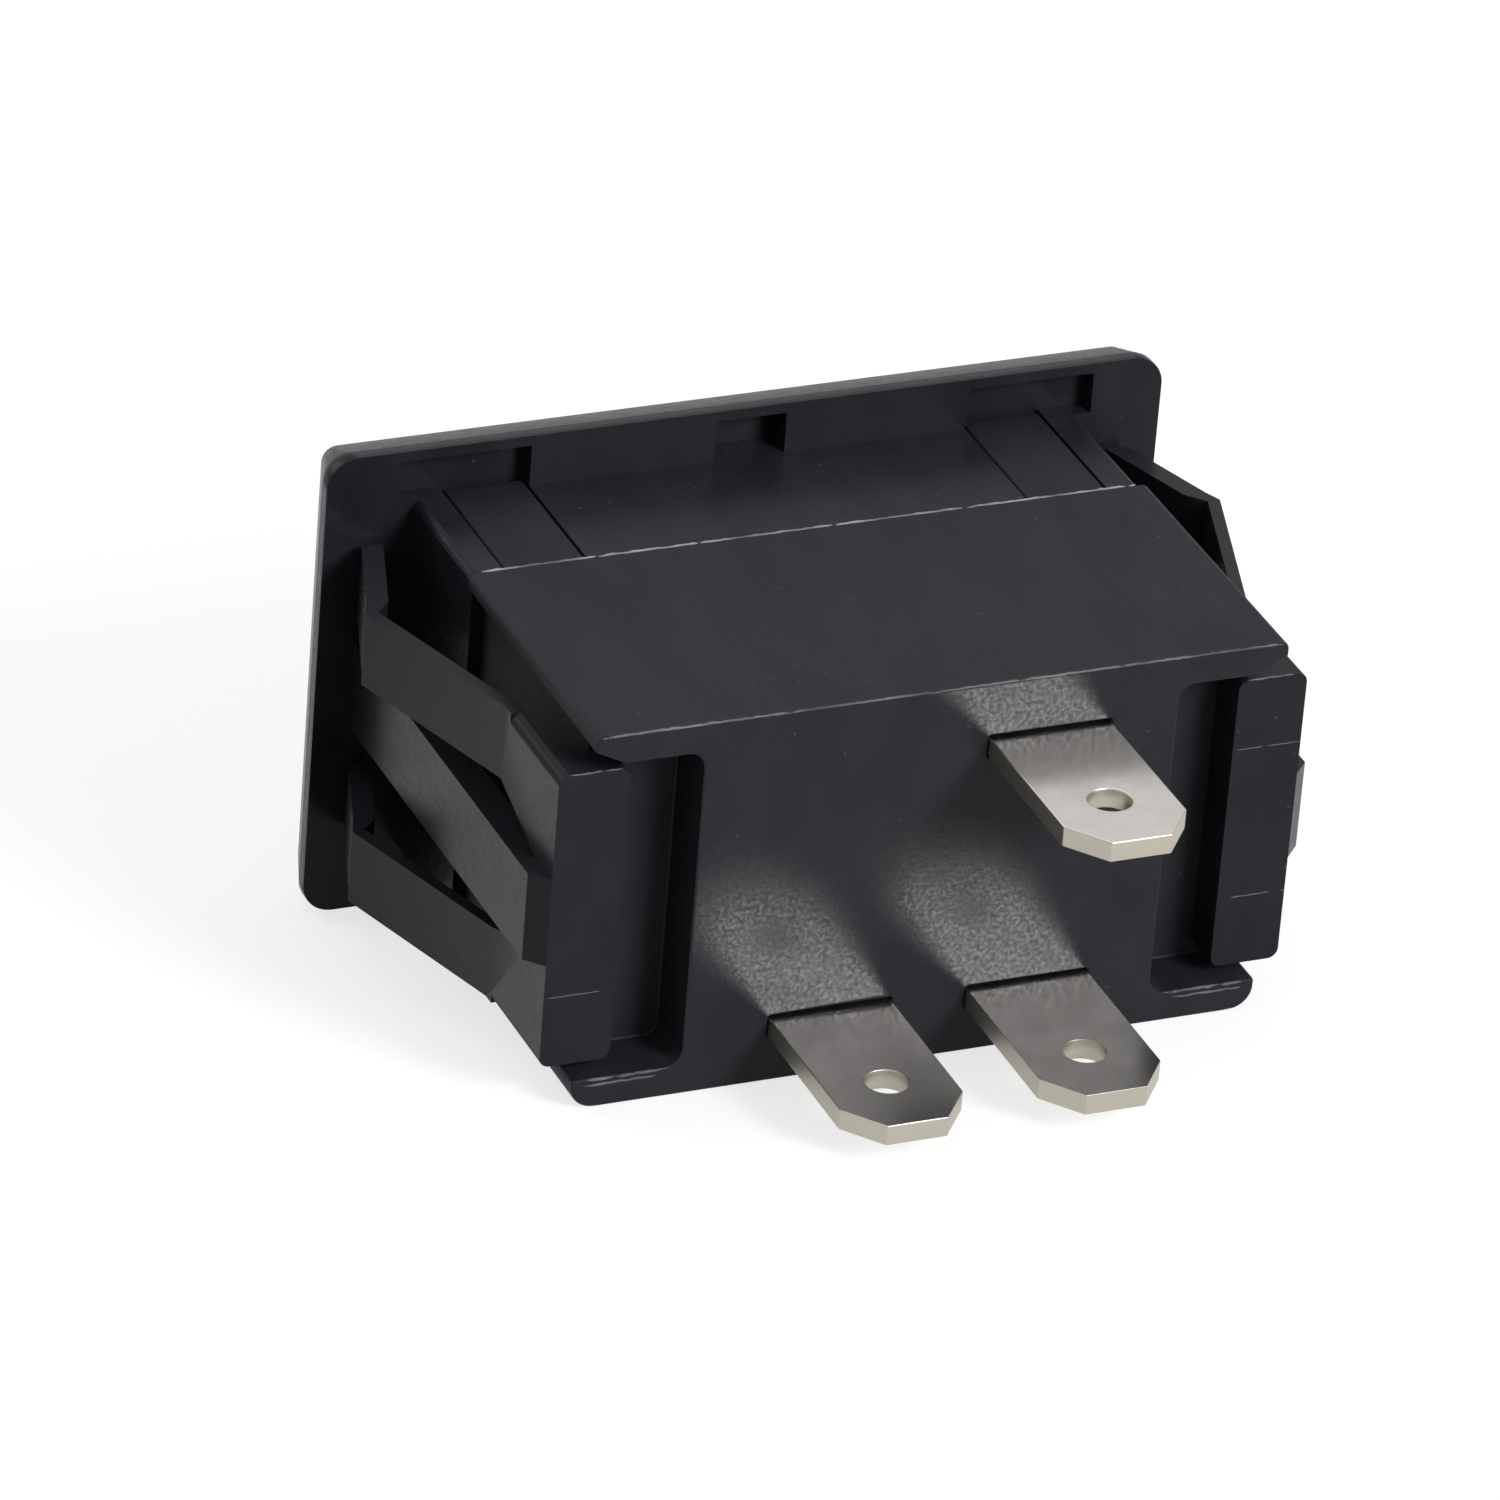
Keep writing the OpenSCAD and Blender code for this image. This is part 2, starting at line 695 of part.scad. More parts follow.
// Cheek of the cradle with a half-round notch for the blade's ear
module cradle_cheek() {
    along_z(cradle_in, cradle_out) difference() {
        translate([-bridge_half, blade_y - ear_r])
            square([2 * bridge_half, shelf_y + tab_t - blade_y + ear_r]);
        translate([0, blade_y]) circle(notch_r);
        translate([-notch_r, blade_y - 2 * ear_r]) square([2 * notch_r, 2 * ear_r]);
    }
}

// Common: a tab whose strip turns down the floor, bridges the middle and carries the cradle
module common_terminal() {
    strip_x0 = common_x - tab_w / 2;
    strip_top = upper_z + tab_t / 2;
    color(plating) difference() {
        union() {
            tab(common_x, upper_z);
            translate([strip_x0, shelf_y, cradle_out])
                cube([bridge_half - strip_x0, tab_t, strip_top - cradle_out]);
            translate([-bridge_half, shelf_y, -cradle_out])
                cube([2 * bridge_half, tab_t, 2 * cradle_out]);
            both_sides() cradle_cheek();
        }
        bend_waste(upper_z, -1);
    }
}

frame();
base();
rocker();
plunger();
plunger_spring();
contact_blade();
moving_contact_a();
moving_contact_b();
common_terminal();
throw_terminal_a();
throw_terminal_b();
fixed_contact_a();
fixed_contact_b();
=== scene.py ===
"""Looks of a black snap-in rocker switch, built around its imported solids."""

import json
import math
import random

import bmesh
import bpy
from mathutils import Matrix, Vector


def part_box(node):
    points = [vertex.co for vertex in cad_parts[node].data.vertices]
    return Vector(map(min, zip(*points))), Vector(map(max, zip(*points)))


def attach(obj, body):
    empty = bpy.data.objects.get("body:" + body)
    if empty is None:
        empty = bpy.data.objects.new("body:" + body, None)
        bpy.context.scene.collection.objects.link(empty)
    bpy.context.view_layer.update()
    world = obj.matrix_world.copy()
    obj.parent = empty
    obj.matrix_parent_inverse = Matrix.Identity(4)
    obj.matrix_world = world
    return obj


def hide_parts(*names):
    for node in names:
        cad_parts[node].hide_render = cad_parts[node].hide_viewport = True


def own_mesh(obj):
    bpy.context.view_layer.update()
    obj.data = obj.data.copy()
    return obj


MM = 0.001
MICRON = 1.0e-6

# Camera, as fitted to the corners of the switch in a frame of 1500 x 1500 pixels
FRAME_PX = 1500
FOCAL_PX = 11073
CAMERA_AZIMUTH = 155.29
CAMERA_ELEVATION = 29.23
CAMERA_ROLL = 4.66
CAMERA_DISTANCE = 400.5 * MM
CAMERA_AIM = Vector((3.55, 9.91, 0.99)) * MM
CAMERA_NEAR = 0.01
CAMERA_FAR = 10
SENSOR_MM = 36.0

# Stage: width, glow and colour of the floor, and the even light from all around
FLOOR_SIZE = 4.0
FLOOR_GLOW = 0.72
FLOOR_COLOUR = (0.3, 0.3, 0.3, 1)
WORLD_FILL = 0.6

# Lamps: azimuth and elevation in degrees, distance and width in metres, power in watts
LAMPS = {
    "key": (206, 31, 0.45, 0.15, 2.3),
    "top": (0, 75, 0.5, 0.35, 0.4),
    "front": (40, 30, 0.5, 0.3, 0.6),
}

# Rounding of the moulded and stamped edges: its width on each solid
MOULDED_EDGE = 0.10 * MM
STAMPED_EDGE = 0.06 * MM
SMALL_EDGE = 0.03 * MM
EDGE_WIDTHS = {
    "frame": MOULDED_EDGE,
    "base": MOULDED_EDGE,
    "rocker": MOULDED_EDGE,
    "plunger": SMALL_EDGE,
    "contact_blade": SMALL_EDGE,
    "common_terminal": STAMPED_EDGE,
    "throw_terminal_a": STAMPED_EDGE,
    "throw_terminal_b": STAMPED_EDGE,
}
EDGE_STEPS = 2
EDGE_ANGLE = math.radians(28)

# Solids whose edges are rounded at full width, not held to what their shortest edges leave room for
FULL_WIDTH = {"base"}

# Cleaning of the solids before that: points to join, and faces that count as one
WELD_GAP = 0.0005 * MM
FLAT_ANGLE = math.radians(0.5)

# Spans that most values of a noise fall in
WIDE_SPAN = (0.3, 0.7)
NARROW_SPAN = (0.35, 0.65)
BLOOM_SPAN = (0.35, 0.7)

# Plastics: two tones, specular level, roughness from and to, cells of the grain to the millimetre, its height
PLASTICS = {
    "frame_plastic": {
        "tones": ((0.0096, 0.0101, 0.0131, 1), (0.0129, 0.0134, 0.0168, 1)),
        "shine": 0.11,
        "dullness": (0.24, 0.34),
        "grain": 18.0,
        "height": 0.2 * MICRON,
    },
    "base_plastic": {
        "tones": ((0.0102, 0.0108, 0.0144, 1), (0.0138, 0.0144, 0.0184, 1)),
        "shine": 0.15,
        "dullness": (0.52, 0.6),
        "grain": 6.0,
        "height": 5.0 * MICRON,
        "back_dullness": (0.2, 0.44),
    },
    "rocker_plastic": {
        "tones": ((0.0120, 0.0125, 0.0156, 1), (0.0165, 0.0170, 0.0205, 1)),
        "shine": 0.16,
        "dullness": (0.38, 0.5),
        "grain": 7.0,
        "height": 6.0 * MICRON,
    },
    # The two finishes of the flash beads are painted highlight: far paler than the black plastic, they paint
    # bright lines along its edges
    "bright_flash_painted_highlight": {
        "tones": ((0.07, 0.071, 0.075, 1), (0.26, 0.261, 0.267, 1)),
        "shine": 0.2,
        "dullness": (0.4, 0.6),
        "grain": 20.0,
        "height": 1.0 * MICRON,
    },
    "dim_flash_painted_highlight": {
        "tones": ((0.05, 0.051, 0.055, 1), (0.14, 0.141, 0.147, 1)),
        "shine": 0.15,
        "dullness": (0.45, 0.6),
        "grain": 20.0,
        "height": 1.0 * MICRON,
    },
}

# Flow marks in the plastic: cells to the millimetre along each axis
FLOW_STRETCH = (0.5, 0.16, 0.3)

# Distance behind the panel over which the switch turns to its back, in millimetres
BACK_MM = (18.3, 18.45)

# Dust on the plastic: cells to the millimetre, radii of a speck in cells, its colour, how much it covers
DUST_CELLS = 0.8
DUST_RADII = (0.03, 0.06)
DUST_COLOUR = (0.05, 0.05, 0.052, 1)
DUST_COVER = 0.7

# Plated strip: two tones, roughness from and to, rolling lines to the millimetre on each axis, their height
PLATE_TONES = ((0.73, 0.695, 0.656, 1), (0.67, 0.637, 0.599, 1))
PLATE_DULLNESS = (0.17, 0.27)
ROLLED_STRETCH = (14, 0.9, 14)
ROLLED_HEIGHT = 0.5 * MICRON

# Cut edges of the terminals: how level a face is where the cut ends and the plate starts, colour, roughness
CUT_LEVEL = (0.85, 0.97)
CUT_COLOUR = (0.455, 0.43, 0.365, 1)
CUT_DULLNESS = 0.42

# Bare metals: two tones, roughness from and to, and the grain that all have
METALS = {
    "copper_blade": {
        "tones": ((0.75, 0.42, 0.25, 1), (0.62, 0.31, 0.17, 1)),
        "dullness": (0.25, 0.4),
    },
    "contact_silver": {
        "tones": ((0.83, 0.82, 0.79, 1), (0.7, 0.69, 0.66, 1)),
        "dullness": (0.2, 0.34),
    },
    "spring_steel": {
        "tones": ((0.44, 0.44, 0.45, 1), (0.34, 0.34, 0.35, 1)),
        "dullness": (0.22, 0.34),
    },
}
METAL_GRAIN = 12.0
METAL_HEIGHT = 0.7 * MICRON

# Acetal: two tones, roughness from and to, share of the light that goes inside and how far each colour gets
ACETAL_TONES = ((0.74, 0.70, 0.60, 1), (0.80, 0.77, 0.69, 1))
ACETAL_DULLNESS = (0.3, 0.42)
ACETAL_INSIDE = 0.2
ACETAL_REACH = (0.5 * MM, 0.4 * MM, 0.3 * MM)

# Spring: its wire and turns, steps to a turn and sides of the wire
SPRING_WIRE = 0.3 * MM
SPRING_TURNS = 9
SPRING_STEPS = 24
SPRING_SIDES = 10

# Flash of the mould: length of its rings, of short and of long runs
FLASH_STEP = 0.2 * MM
SHORT_RUN = (0.5 * MM, 3.0 * MM)
LONG_RUN = (3.0 * MM, 9.0 * MM)

# Its beads: sides, how they swell, taper and wander in shares of their thickness, how the gaps vary
FLASH_SIDES = 6
FLASH_SWELL = (0.7, 1.2)
FLASH_TAPER = 0.35
FLASH_WANDER = 0.3
FLASH_GAPS = (0.5, 1.5)

# Places on the solids that carry flash
PARTING_Y = 6.0 * MM
CORE_SIDE = 9.2 * MM
FLANGE_INNER = 6.4 * MM
BAR_BACK = 18.0 * MM
BAR_INNER = 11.8 * MM
BAR_OUTER = 14.5 * MM
BAR_TOP = 5.95 * MM
FINGER_EDGE = 3.1 * MM

# Where it lies there: off the base's ends, and how deep in the base's top
END_INSET = 0.5 * MM
PARTING_SUNK = 0.02 * MM
EDGE_SUNK = 0.03 * MM

# Its lines on the lower flange, by start and height, and on the bars, by start and end
FLANGE_FLASH_START = CORE_SIDE + 0.8 * MM
FLANGE_FLASH_Z = -FLANGE_INNER - 0.05 * MM
FLANGE_LINE_START = CORE_SIDE + 0.9 * MM
FLANGE_LINE_Z = -FLANGE_INNER - 0.27 * MM
BAR_TOP_ENDS = (BAR_INNER + 0.3 * MM, BAR_OUTER - 0.4 * MM)
BAR_LOW_ENDS = (BAR_INNER + 0.5 * MM, BAR_OUTER)
BAR_HIGH_ENDS = (BAR_INNER + 0.1 * MM, BAR_OUTER)

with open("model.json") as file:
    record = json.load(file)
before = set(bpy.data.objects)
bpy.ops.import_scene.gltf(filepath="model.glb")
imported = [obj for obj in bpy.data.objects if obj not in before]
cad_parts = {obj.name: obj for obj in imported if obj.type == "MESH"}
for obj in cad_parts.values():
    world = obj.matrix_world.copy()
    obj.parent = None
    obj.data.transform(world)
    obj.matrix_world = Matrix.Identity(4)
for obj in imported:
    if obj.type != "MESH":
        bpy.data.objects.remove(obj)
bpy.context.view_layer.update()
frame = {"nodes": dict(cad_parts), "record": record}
nodes = frame["nodes"]


# Node helpers


def feed(tree, value, socket):
    """Links another node's output to a socket, or sets the socket to a plain value."""
    if isinstance(value, bpy.types.NodeSocket):
        tree.links.new(value, socket)
    else:
        socket.default_value = value


def new_material(name):
    """An empty node material and its Principled shader."""
    material = bpy.data.materials.new(name)
    material.use_nodes = True
    tree = material.node_tree
    tree.nodes.clear()
    shader = tree.nodes.new("ShaderNodeBsdfPrincipled")
    output = tree.nodes.new("ShaderNodeOutputMaterial")
    tree.links.new(shader.outputs["BSDF"], output.inputs["Surface"])
    return material, tree, shader


def in_millimetres(tree, stretch=(1, 1, 1)):
    """The object's own coordinates in millimetres, stretched along each axis."""
    coords = tree.nodes.new("ShaderNodeTexCoord")
    mapping = tree.nodes.new("ShaderNodeMapping")
    mapping.inputs["Scale"].default_value = [s / MM for s in stretch]
    tree.links.new(coords.outputs["Object"], mapping.inputs["Vector"])
    return mapping.outputs["Vector"]


def noise(tree, place, scale, detail=2.0, roughness=0.5):
    """A noise texture with so many cells to the millimetre."""
    texture = tree.nodes.new("ShaderNodeTexNoise")
    texture.inputs["Scale"].default_value = scale
    texture.inputs["Detail"].default_value = detail
    texture.inputs["Roughness"].default_value = roughness
    tree.links.new(place, texture.inputs["Vector"])
    return texture.outputs["Fac"]


def spread(tree, value, span, to=(0.0, 1.0)):
    """Maps a value from one span to another, held at its ends."""
    ranged = tree.nodes.new("ShaderNodeMapRange")
    ranged.inputs["From Min"].default_value = span[0]
    ranged.inputs["From Max"].default_value = span[1]
    ranged.inputs["To Min"].default_value = to[0]
    ranged.inputs["To Max"].default_value = to[1]
    tree.links.new(value, ranged.inputs["Value"])
    return ranged.outputs["Result"]


def calculate(tree, operation, first, second=0.0):
    """A number worked out from one or two others."""
    node = tree.nodes.new("ShaderNodeMath")
    node.operation = operation
    feed(tree, first, node.inputs[0])
    feed(tree, second, node.inputs[1])
    return node.outputs[0]


def mix(tree, kind, share, first, second):
    """A colour, kind RGBA, or a number, kind FLOAT, between two others."""
    node = tree.nodes.new("ShaderNodeMix")
    node.data_type = kind
    tree.links.new(share, node.inputs["Factor"])
    feed(tree, first, node.inputs["A"])
    feed(tree, second, node.inputs["B"])
    return node.outputs["Result"]


def raise_bumps(tree, shader, height, distance):
    """Adds bumps of a height in metres to a shader."""
    bump = tree.nodes.new("ShaderNodeBump")
    bump.inputs["Distance"].default_value = distance
    bump.inputs["Strength"].default_value = 1.0
    tree.links.new(height, bump.inputs["Height"])
    tree.links.new(bump.outputs["Normal"], shader.inputs["Normal"])


def add_dust(tree, place, colour):
    """A colour with small pale specks strewn over it."""
    cells = tree.nodes.new("ShaderNodeTexVoronoi")
    cells.inputs["Scale"].default_value = DUST_CELLS
    tree.links.new(place, cells.inputs["Vector"])
    specks = spread(tree, cells.outputs["Distance"], DUST_RADII, (DUST_COVER, 0.0))
    return mix(tree, "RGBA", specks, colour, DUST_COLOUR)


def on_the_back(tree, place):
    """1 on the back of the switch and behind it, 0 on the rest of it."""
    parts = tree.nodes.new("ShaderNodeSeparateXYZ")
    tree.links.new(place, parts.inputs["Vector"])
    return spread(tree, parts.outputs["Y"], BACK_MM)


def seen_rays(tree):
    """1 for rays from the camera or by way of a shiny or clear surface, 0 for those that light a surface."""
    path = tree.nodes.new("ShaderNodeLightPath")
    seen = calculate(tree, "MAXIMUM", path.outputs["Is Camera Ray"], path.outputs["Is Glossy Ray"])
    return calculate(tree, "MAXIMUM", seen, path.outputs["Is Transmission Ray"])


# Materials


def moulded_plastic(name, tones, shine, dullness, grain, height, back_dullness=None):
    """Black moulded plastic with a fine grain, faint flow marks, an uneven gloss and some dust."""
    material, tree, shader = new_material(name)
    place = in_millimetres(tree)
    flow = noise(tree, in_millimetres(tree, FLOW_STRETCH), scale=1.0, detail=3.0)
    colour = mix(tree, "RGBA", spread(tree, flow, NARROW_SPAN), *tones)
    tree.links.new(add_dust(tree, place, colour), shader.inputs["Base Color"])
    fine = noise(tree, place, grain, detail=2.0, roughness=0.6)
    cloud = noise(tree, place, scale=3.0, detail=4.0, roughness=0.6)
    dull = spread(tree, cloud, WIDE_SPAN, dullness)
    if back_dullness:
        polished = spread(tree, fine, NARROW_SPAN, back_dullness)
        dull = mix(tree, "FLOAT", on_the_back(tree, place), dull, polished)
    tree.links.new(dull, shader.inputs["Roughness"])
    shader.inputs["Specular IOR Level"].default_value = shine
    raise_bumps(tree, shader, fine, height)
    return material


def cut_edges(tree, place):
    """1 on the cut edges of the tabs behind the switch, 0 on the faces of the strip."""
    coords = tree.nodes.new("ShaderNodeTexCoord")
    parts = tree.nodes.new("ShaderNodeSeparateXYZ")
    tree.links.new(coords.outputs["Normal"], parts.inputs["Vector"])
    level = calculate(tree, "ABSOLUTE", parts.outputs["Z"])
    steep = spread(tree, level, CUT_LEVEL, (1.0, 0.0))
    return calculate(tree, "MULTIPLY", steep, on_the_back(tree, place))


def plated_strip():
    """Nickel plate over rolled strip: faint rolling lines, a duller bloom, bare yellowish cut edges."""
    material, tree, shader = new_material("plated_strip")
    place = in_millimetres(tree)
    cut = cut_edges(tree, place)
    bloom = noise(tree, place, scale=0.7, detail=4.0, roughness=0.55)
    plate = mix(tree, "RGBA", spread(tree, bloom, BLOOM_SPAN), *PLATE_TONES)
    tree.links.new(mix(tree, "RGBA", cut, plate, CUT_COLOUR), shader.inputs["Base Color"])
    shader.inputs["Metallic"].default_value = 1.0
    dull = spread(tree, bloom, WIDE_SPAN, PLATE_DULLNESS)
    tree.links.new(mix(tree, "FLOAT", cut, dull, CUT_DULLNESS), shader.inputs["Roughness"])
    rolled = noise(tree, in_millimetres(tree, ROLLED_STRETCH), scale=1.0)
    raise_bumps(tree, shader, rolled, ROLLED_HEIGHT)
    return material


def plain_metal(name, tones, dullness):
    """Bare metal with a slight change of tone and a fine uneven shine."""
    material, tree, shader = new_material(name)
    place = in_millimetres(tree)
    stain = noise(tree, place, scale=1.3, detail=4.0, roughness=0.6)
    tree.links.new(mix(tree, "RGBA", spread(tree, stain, WIDE_SPAN), *tones), shader.inputs["Base Color"])
    shader.inputs["Metallic"].default_value = 1.0
    tree.links.new(spread(tree, stain, WIDE_SPAN, dullness), shader.inputs["Roughness"])
    raise_bumps(tree, shader, noise(tree, place, METAL_GRAIN), METAL_HEIGHT)
    return material


def acetal():
    """Natural acetal: creamy, waxy, a little light inside it."""
    material, tree, shader = new_material("plunger_acetal")
    cloud = noise(tree, in_millimetres(tree), scale=0.9, detail=3.0)
    tree.links.new(mix(tree, "RGBA", cloud, *ACETAL_TONES), shader.inputs["Base Color"])
    tree.links.new(spread(tree, cloud, WIDE_SPAN, ACETAL_DULLNESS), shader.inputs["Roughness"])
    shader.inputs["Subsurface Weight"].default_value = ACETAL_INSIDE
    shader.inputs["Subsurface Radius"].default_value = ACETAL_REACH
    return material


materials = {"plated_strip": plated_strip(), "plunger_acetal": acetal()}
for finish, looks in PLASTICS.items():
    materials[finish] = moulded_plastic(finish, **looks)
for finish, looks in METALS.items():
    materials[finish] = plain_metal(finish, **looks)


# The solids, with their edges softened and their finish


def soften(node, width, full):
    """Rounds a node's sharp edges, as a mould or a press leaves them, at full width or as room allows."""
    weld = node.modifiers.new("weld", "WELD")
    weld.merge_threshold = WELD_GAP
    flat = node.modifiers.new("flat", "DECIMATE")
    flat.decimate_type = "DISSOLVE"
    flat.angle_limit = FLAT_ANGLE
    bevel = node.modifiers.new("edges", "BEVEL")
    bevel.width = width
    bevel.segments = EDGE_STEPS
    bevel.limit_method = "ANGLE"
    bevel.angle_limit = EDGE_ANGLE
    bevel.miter_outer = "MITER_ARC"
    bevel.use_clamp_overlap = not full
    shading = node.modifiers.new("shading", "WEIGHTED_NORMAL")
    shading.keep_sharp = False


def dress_solids():
    """Gives each solid the finish of its slot, and softens the edges of most."""
    for piece in frame["record"]["subparts"]:
        name = piece["node"]
        solid = nodes[name]
        solid.data.materials.clear()
        solid.data.materials.append(materials[piece["material_slot"]])
        if name in EDGE_WIDTHS:
            soften(solid, EDGE_WIDTHS[name], name in FULL_WIDTH)


# Tubes: the spring, and flash of the mould, whose pale finishes paint highlight lines


def add_ring(form, centre, side, other, radius, count):
    """So many points on a circle that lies along two directions."""
    ring = []
    for k in range(count):
        angle = 2 * math.pi * k / count
        outward = side * math.cos(angle) + other * math.sin(angle)
        ring.append(form.verts.new(centre + outward * radius))
    return ring


def skin_rings(form, rings):
    """Joins rings of as many points each into one closed tube."""
    for ring, following in zip(rings, rings[1:]):
        for k, point in enumerate(ring):
            j = (k + 1) % len(ring)
            form.faces.new((point, ring[j], following[j], following[k]))
    form.faces.new(rings[0][::-1])
    form.faces.new(rings[-1])


def finish_piece(form, name, body, finish):
    """Turns a form into a piece that rides on a body and has a finish."""
    bmesh.ops.recalc_face_normals(form, faces=form.faces)
    mesh = bpy.data.meshes.new(name)
    form.to_mesh(mesh)
    form.free()
    mesh.shade_smooth()
    mesh.materials.append(materials[finish])
    piece = bpy.data.objects.new(name, mesh)
    bpy.context.scene.collection.objects.link(piece)
    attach(piece, body)
    return piece


def wire_spring():
    """A coil of round wire in place of the spring's solid, seated in the post and pressed by the plunger."""
    low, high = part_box("plunger_spring")
    wire = SPRING_WIRE / 2
    length = high.y - low.y
    axle = (low + high) / 2
    radius = (high.x - low.x) / 2 - wire
    steps = SPRING_TURNS * SPRING_STEPS
    backward = Vector((0, 1, 0))
    form = bmesh.new()
    rings = []
    for step in range(steps + 1):
        turn = 2 * math.pi * step / SPRING_STEPS
        outward = Vector((math.cos(turn), 0, math.sin(turn)))
        along = low.y + wire + (length - 2 * wire) * step / steps
        centre = Vector((axle.x, along, axle.z)) + outward * radius
        rings.append(add_ring(form, centre, outward, backward, wire, SPRING_SIDES))
    skin_rings(form, rings)
    coil = finish_piece(form, "wire_spring", "rocker", "spring_steel")
    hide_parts("plunger_spring")
    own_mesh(coil)


def add_bead(form, start, along, run, thickness, chance):
    """A closed, uneven tube of plastic from start, so long along a line."""
    side = along.orthogonal().normalized()
    other = along.cross(side)
    steps = max(2, round(run / FLASH_STEP))
    rings = []
    for step in range(steps + 1):
        taper = FLASH_TAPER if step in (0, steps) else 1.0
        radius = thickness * taper * chance.uniform(*FLASH_SWELL)
        centre = start + along * (run * step / steps)
        astray = side * chance.uniform(-1, 1) + other * chance.uniform(-1, 1)
        centre += astray * thickness * FLASH_WANDER
        rings.append(add_ring(form, centre, side, other, radius, FLASH_SIDES))
    skin_rings(form, rings)


def flash(name, ends, y, z, thickness, cover, seed, finish="dim_flash_painted_highlight", runs=SHORT_RUN):
    """A broken line of flash along X between two ends, in runs that cover a share of its length, in a pale
    finish that paints a highlight line along it.
    """
    chance = random.Random(seed)
    start = Vector((ends[0], y, z))
    line = Vector((ends[1], y, z)) - start
    along = line.normalized()
    form = bmesh.new()
    place = 0.0
    while place < line.length:
        run = min(chance.uniform(*runs), line.length - place)
        if run > FLASH_STEP:
            add_bead(form, start + along * place, along, run, thickness, chance)
        place += run + run * (1 / cover - 1) * chance.uniform(*FLASH_GAPS)
    finish_piece(form, name, "housing", finish)


def mould_flash_and_highlights():
    """Flash, in pale finishes that paint highlight lines, along the base's parting line and upper back edge,
    its lower flange and the bars of the arms.
    """
    base_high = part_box("base")[1]
    base_end = base_high.x - END_INSET
    back = base_high.y
    top = base_high.z
    flash(
        "parting_flash_and_highlight", (base_end, -base_end), PARTING_Y, top - PARTING_SUNK,
        thickness=0.048 * MM, cover=0.98, seed=3, finish="bright_flash_painted_highlight", runs=LONG_RUN
    )
    flash(
        "back_edge_flash_and_highlight", (base_end, -base_end), back - EDGE_SUNK, top - EDGE_SUNK,
        thickness=0.045 * MM, cover=0.98, seed=5, runs=LONG_RUN
    )
    for side, sign in (("left", 1), ("right", -1)):
        flash(
            f"flange_flash_and_highlight_{side}", (sign * FLANGE_FLASH_START, sign * base_end), back, FLANGE_FLASH_Z,
            thickness=0.06 * MM, cover=0.95, seed=11 + sign
        )
        flash(
            f"flange_line_{side}", (sign * FLANGE_LINE_START, sign * base_end), back, FLANGE_LINE_Z,
            thickness=0.05 * MM, cover=0.9, seed=21 + sign
        )
        flash(
            f"bar_top_flash_and_highlight_{side}", [sign * x for x in BAR_TOP_ENDS], BAR_BACK, BAR_TOP,
            thickness=0.035 * MM, cover=0.9, seed=31 + sign
        )
        flash(
            f"bar_line_low_{side}", [sign * x for x in BAR_LOW_ENDS], BAR_BACK, -FINGER_EDGE,
            thickness=0.022 * MM, cover=0.8, seed=41 + sign
        )
    flash(
        "bar_line_high_right", [-x for x in BAR_HIGH_ENDS], BAR_BACK, FINGER_EDGE,
        thickness=0.022 * MM, cover=0.85, seed=51
    )


# Stage: a pale floor that the switch rests on with its bezel and its back, and soft light


def floor_material():
    """White where the camera or a shiny surface looks at it, still darker in the shadow, clear from below."""
    material = bpy.data.materials.new("floor")
    material.use_nodes = True
    tree = material.node_tree
    tree.nodes.clear()
    make, link = tree.nodes.new, tree.links.new
    matte = make("ShaderNodeBsdfDiffuse")
    matte.inputs["Color"].default_value = FLOOR_COLOUR
    glow = make("ShaderNodeEmission")
    link(calculate(tree, "MULTIPLY", seen_rays(tree), FLOOR_GLOW), glow.inputs["Strength"])
    both = make("ShaderNodeAddShader")
    link(matte.outputs[0], both.inputs[0])
    link(glow.outputs[0], both.inputs[1])
    clear = make("ShaderNodeBsdfTransparent")
    side = make("ShaderNodeNewGeometry")
    one_sided = make("ShaderNodeMixShader")
    link(side.outputs["Backfacing"], one_sided.inputs["Fac"])
    link(both.outputs[0], one_sided.inputs[1])
    link(clear.outputs[0], one_sided.inputs[2])
    output = make("ShaderNodeOutputMaterial")
    link(one_sided.outputs[0], output.inputs["Surface"])
    return material


def make_floor():
    """A plane through the bezel's lower edge and the lower edge of the base's back."""
    bezel_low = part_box("frame")[0].z
    base_low, base_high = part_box("base")
    slope = math.atan2(base_low.z - bezel_low, base_high.y)
    mesh = bpy.data.meshes.new("floor")
    form = bmesh.new()
    bmesh.ops.create_grid(form, x_segments=1, y_segments=1, size=FLOOR_SIZE / 2)
    form.to_mesh(mesh)
    form.free()
    mesh.materials.append(floor_material())
    floor = bpy.data.objects.new("floor", mesh)
    bpy.context.scene.collection.objects.link(floor)
    floor.location = (0, 0, bezel_low)
    floor.rotation_euler = (slope, 0, 0)


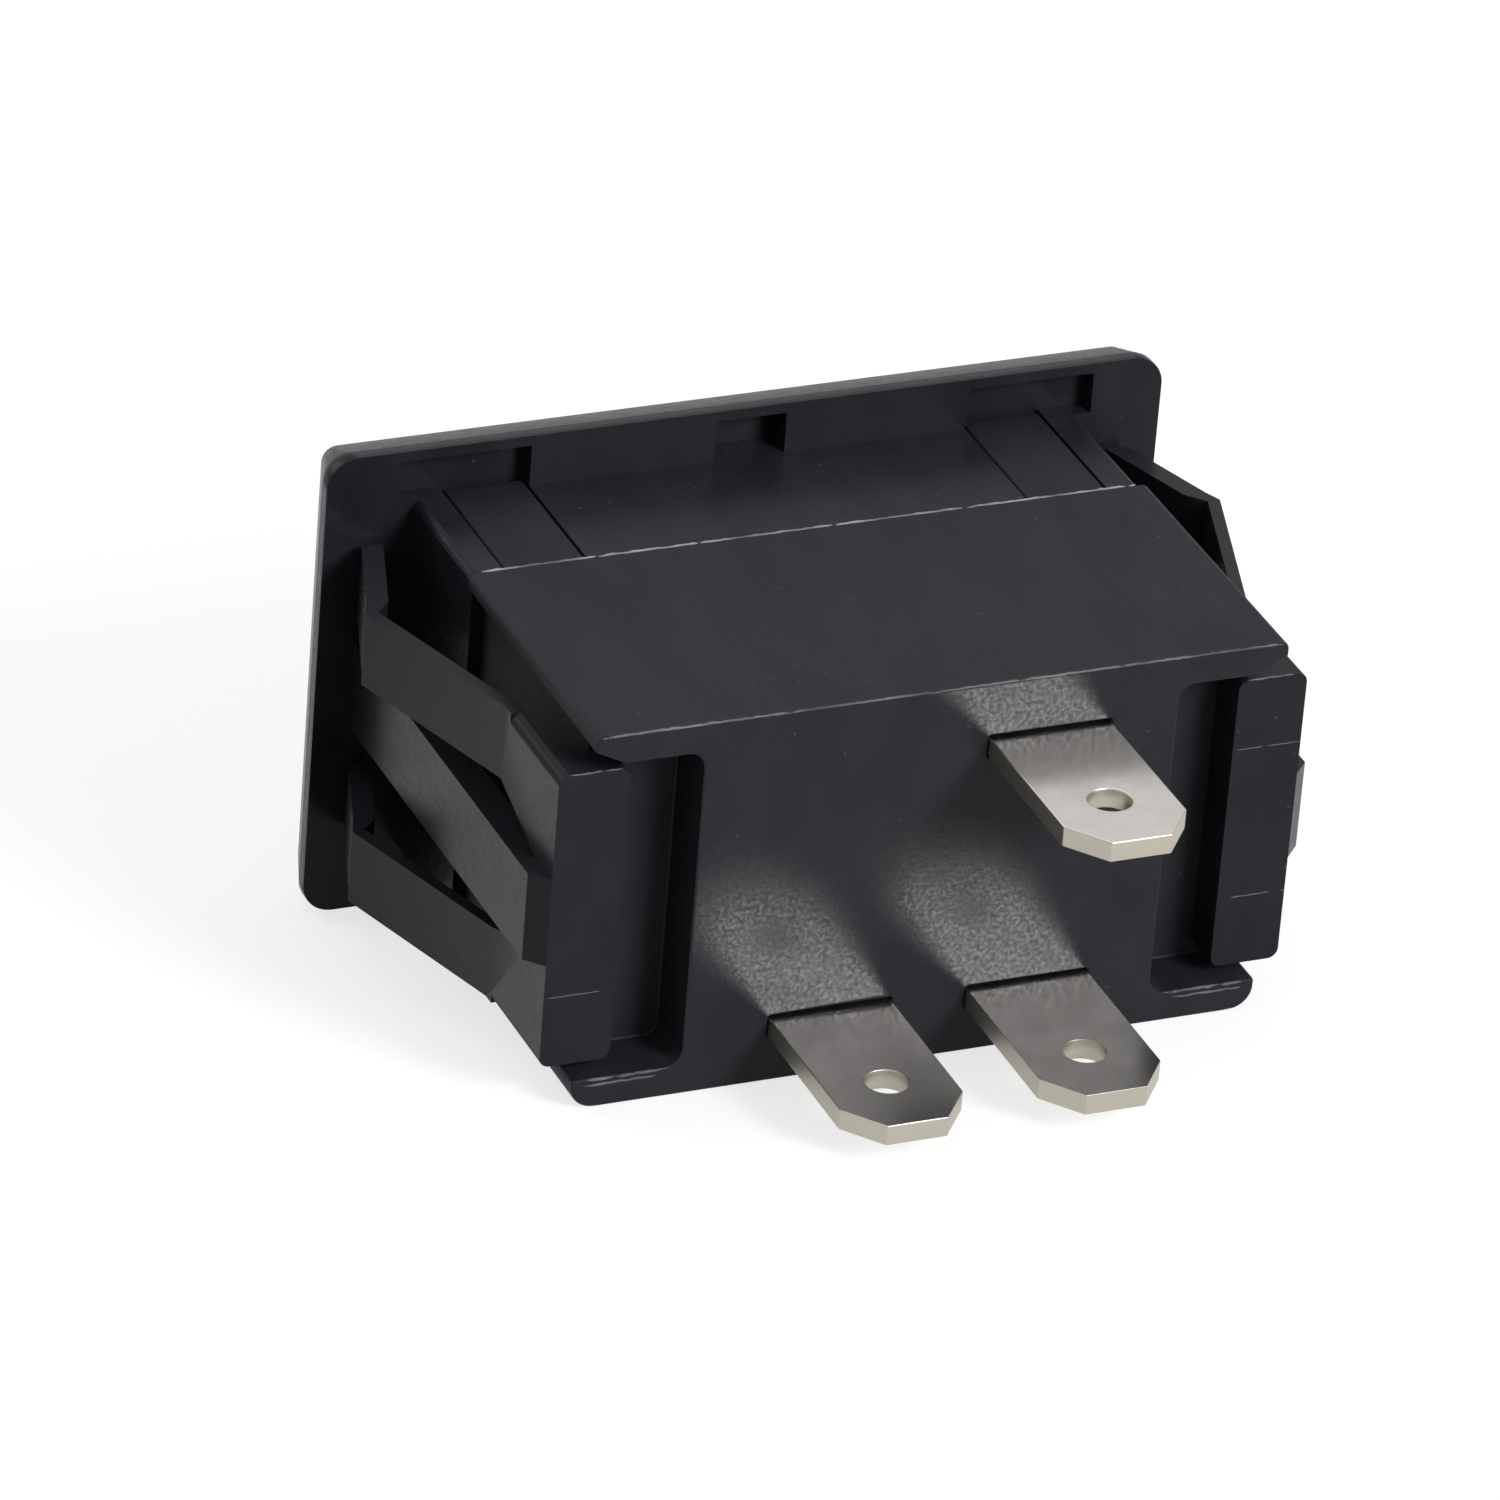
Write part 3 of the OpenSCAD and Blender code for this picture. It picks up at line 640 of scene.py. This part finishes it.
def make_world():
    """Even soft light, which the camera and shiny surfaces see as white."""
    world = bpy.data.worlds.new("studio")
    bpy.context.scene.world = world
    world.use_nodes = True
    tree = world.node_tree
    tree.nodes.clear()
    background = tree.nodes.new("ShaderNodeBackground")
    strength = spread(tree, seen_rays(tree), (0.0, 1.0), (WORLD_FILL, 1.0))
    tree.links.new(strength, background.inputs["Strength"])
    output = tree.nodes.new("ShaderNodeOutputWorld")
    tree.links.new(background.outputs[0], output.inputs["Surface"])


def direction(azimuth, elevation):
    """Unit vector from the switch: azimuth 0 is in front of it, 180 is behind it."""
    a, e = math.radians(azimuth), math.radians(elevation)
    return Vector((math.sin(a) * math.cos(e), -math.cos(a) * math.cos(e), math.sin(e)))


def softbox(name, azimuth, elevation, distance, size, power):
    """A square lamp that looks at the switch from a direction given as for the camera."""
    light = bpy.data.lights.new(name, "AREA")
    light.shape = "SQUARE"
    light.size = size
    light.energy = power
    lamp = bpy.data.objects.new(name, light)
    bpy.context.scene.collection.objects.link(lamp)
    away = direction(azimuth, elevation)
    lamp.location = CAMERA_AIM + away * distance
    lamp.rotation_mode = "QUATERNION"
    lamp.rotation_quaternion = away.to_track_quat("Z", "Y")


def make_camera():
    """The camera on its line through the aim, turned by its roll."""
    data = bpy.data.cameras.new("camera")
    data.sensor_width = SENSOR_MM
    data.lens = SENSOR_MM * FOCAL_PX / FRAME_PX
    data.clip_start = CAMERA_NEAR
    data.clip_end = CAMERA_FAR
    camera = bpy.data.objects.new("camera", data)
    bpy.context.scene.collection.objects.link(camera)
    away = direction(CAMERA_AZIMUTH, CAMERA_ELEVATION)
    level = (-away).to_track_quat("-Z", "Y").to_matrix()
    turned = level @ Matrix.Rotation(math.radians(CAMERA_ROLL), 3, "Z")
    camera.matrix_world = Matrix.LocRotScale(CAMERA_AIM + away * CAMERA_DISTANCE, turned, None)
    bpy.context.scene.camera = camera


dress_solids()
wire_spring()
mould_flash_and_highlights()
make_floor()
make_world()
for lamp_name, setting in LAMPS.items():
    softbox(lamp_name, *setting)
make_camera()
bpy.context.scene.view_settings.view_transform = "Standard"
